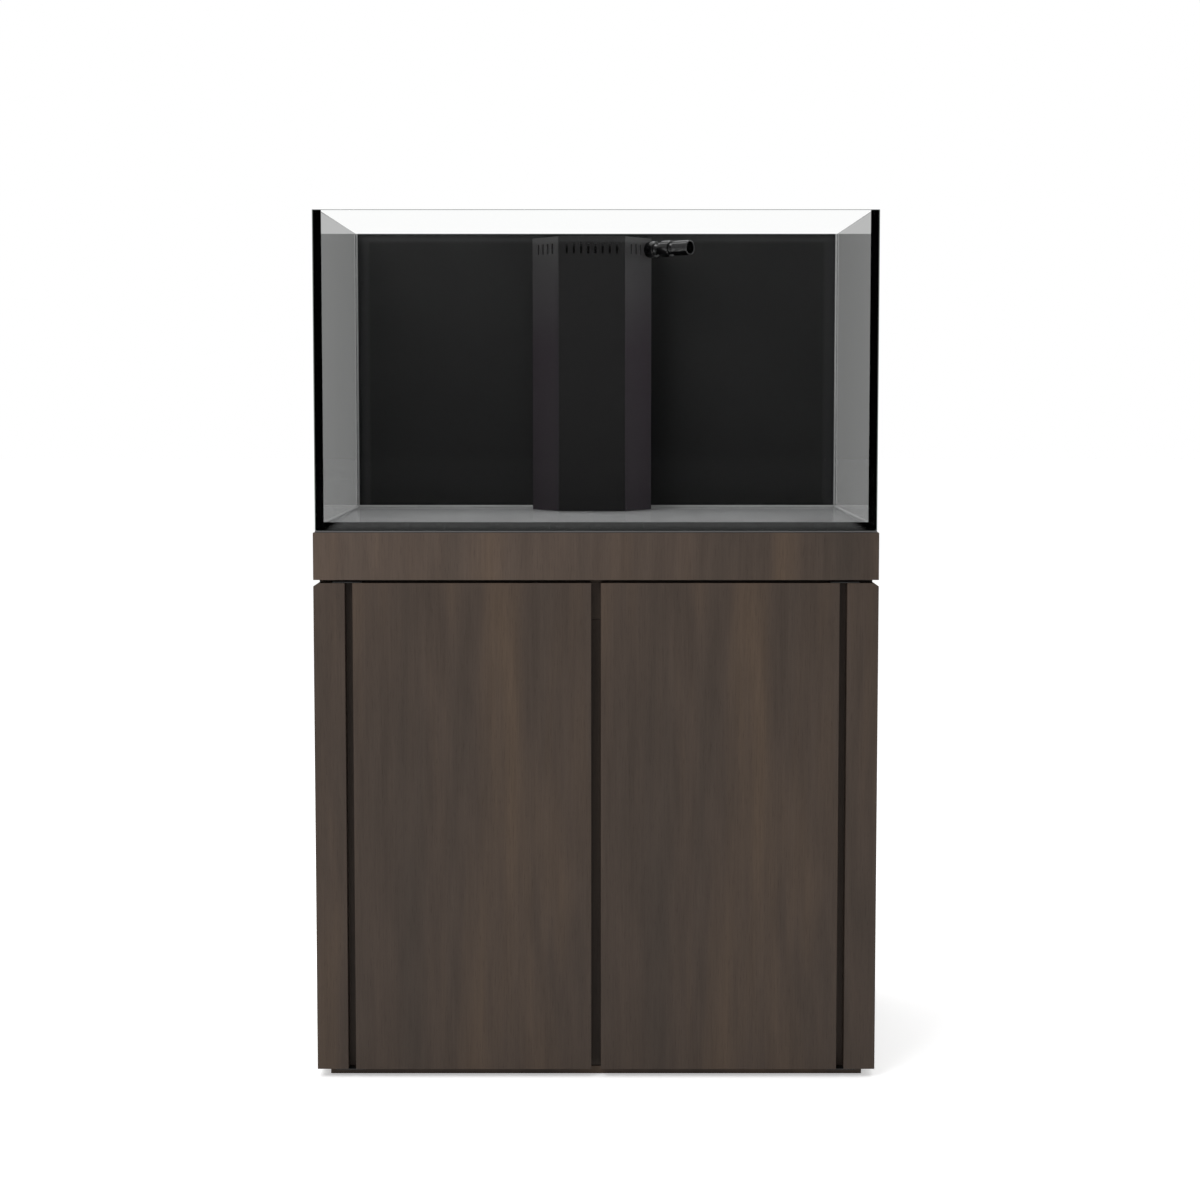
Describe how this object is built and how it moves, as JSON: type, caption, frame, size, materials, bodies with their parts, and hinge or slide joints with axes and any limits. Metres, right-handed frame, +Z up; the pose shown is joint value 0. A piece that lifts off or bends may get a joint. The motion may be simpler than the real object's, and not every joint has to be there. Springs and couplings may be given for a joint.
{
  "type": "aquarium on stand",
  "caption": "Rimless glass reef tank with a black corner-cut weir and jointed return nozzle, on a dark wood-look stand with handle-less doors, a sump and its plumbing.",
  "frame": {"origin": "on the floor under the middle of the stand", "axes": "+Z up, -Y out of the front with the doors, +X to the right of a viewer in front"},
  "size_m": [0.906, 0.516, 1.402],
  "materials": {
    "glass": "clear float glass with polished edges",
    "silicone": "satin black silicone",
    "film": "black background film",
    "weir_plastic": "satin black plastic sheet",
    "black_pvc": "moulded black plastic",
    "pipe_pvc": "grey pressure pipe",
    "foam": "pale closed-cell foam",
    "laminate": "dark walnut wood-look laminate, vertical grain",
    "dark_board": "dark board",
    "acrylic": "clear sheet",
    "felt": "white needle felt",
    "pump_plastic": "moulded dark plastic",
    "red_plastic": "moulded red plastic",
    "hose": "soft dark hose",
    "steel": "zinc-plated steel"
  },
  "bodies": {
    "stand": {"front_glass": "glass", "back_glass": "glass", "left_glass": "glass", "right_glass": "glass", "bottom_glass": "glass", "tank_seams": "silicone", "back_film": "film", "weir_front": "weir_plastic", "weir_chamfer_left": "weir_plastic", "weir_chamfer_right": "weir_plastic", "weir_side_left": "weir_plastic", "weir_side_right": "weir_plastic", "drain_bulkhead": "black_pvc", "emergency_bulkhead": "black_pvc", "return_bulkhead": "black_pvc", "drain_standpipe": "black_pvc", "emergency_standpipe": "black_pvc", "return_riser": "black_pvc", "return_elbow": "black_pvc", "nozzle_base": "black_pvc", "levelling_mat": "foam", "top_board": "dark_board", "trim_front": "laminate", "trim_back": "laminate", "trim_left": "laminate", "trim_right": "laminate", "top_beam_front": "dark_board", "top_beam_back": "dark_board", "neck_plate": "dark_board", "side_panel_left": "laminate", "side_panel_right": "laminate", "corner_post_left": "laminate", "corner_post_right": "laminate", "centre_post": "laminate", "face_rail_top": "laminate", "cabinet_floor": "laminate", "base_board": "laminate", "back_rail_top": "laminate", "back_panel_lower": "laminate", "pivot_left_top": "steel", "pivot_left_bottom": "steel", "pivot_right_top": "steel", "pivot_right_bottom": "steel", "sump_tank": "acrylic", "baffle_low": "acrylic", "baffle_high": "acrylic", "sock_tray": "black_pvc", "return_pump": "pump_plastic", "drain_valve": "pipe_pvc", "drain_pipe_upper": "pipe_pvc", "drain_pipe_lower": "pipe_pvc", "emergency_pipe": "pipe_pvc", "return_hose": "hose"},
    "door_left": {"door_left": "laminate"},
    "door_right": {"door_right": "laminate"},
    "nozzle_link": {"nozzle_link": "black_pvc"},
    "nozzle_tip": {"nozzle_tip": "black_pvc"},
    "valve_handle": {"valve_handle": "red_plastic"},
    "filter_sock": {"filter_sock": "felt"}
  },
  "joints": [
    {"name": "door_left_hinge", "type": "hinge", "parent": "stand", "child": "door_left", "pos_m": [-0.3843, -0.252, 0.411], "axis": [0, 0, -1], "range_deg": [0, 110]},
    {"name": "door_right_hinge", "type": "hinge", "parent": "stand", "child": "door_right", "pos_m": [0.3843, -0.252, 0.411], "axis": [0, 0, 1], "range_deg": [0, 110]},
    {"name": "nozzle_pan", "type": "hinge", "parent": "stand", "child": "nozzle_link", "pos_m": [0.10236, 0.14881, 1.3665], "axis": [0, 0, 1], "range_deg": [-20, 20]},
    {"name": "nozzle_tilt", "type": "hinge", "parent": "nozzle_link", "child": "nozzle_tip", "pos_m": [0.12861, 0.1272, 1.3665], "axis": [0.6356, 0.772, 0], "range_deg": [-20, 20]},
    {"name": "valve_turn", "type": "hinge", "parent": "stand", "child": "valve_handle", "pos_m": [-0.074, 0.1477, 0.6], "axis": [0, -1, 0], "range_deg": [0, 90]},
    {"name": "sock_lift", "type": "slide", "parent": "stand", "child": "filter_sock", "axis": [0, 0, 1], "range_m": [0, 0.19]}
  ]
}
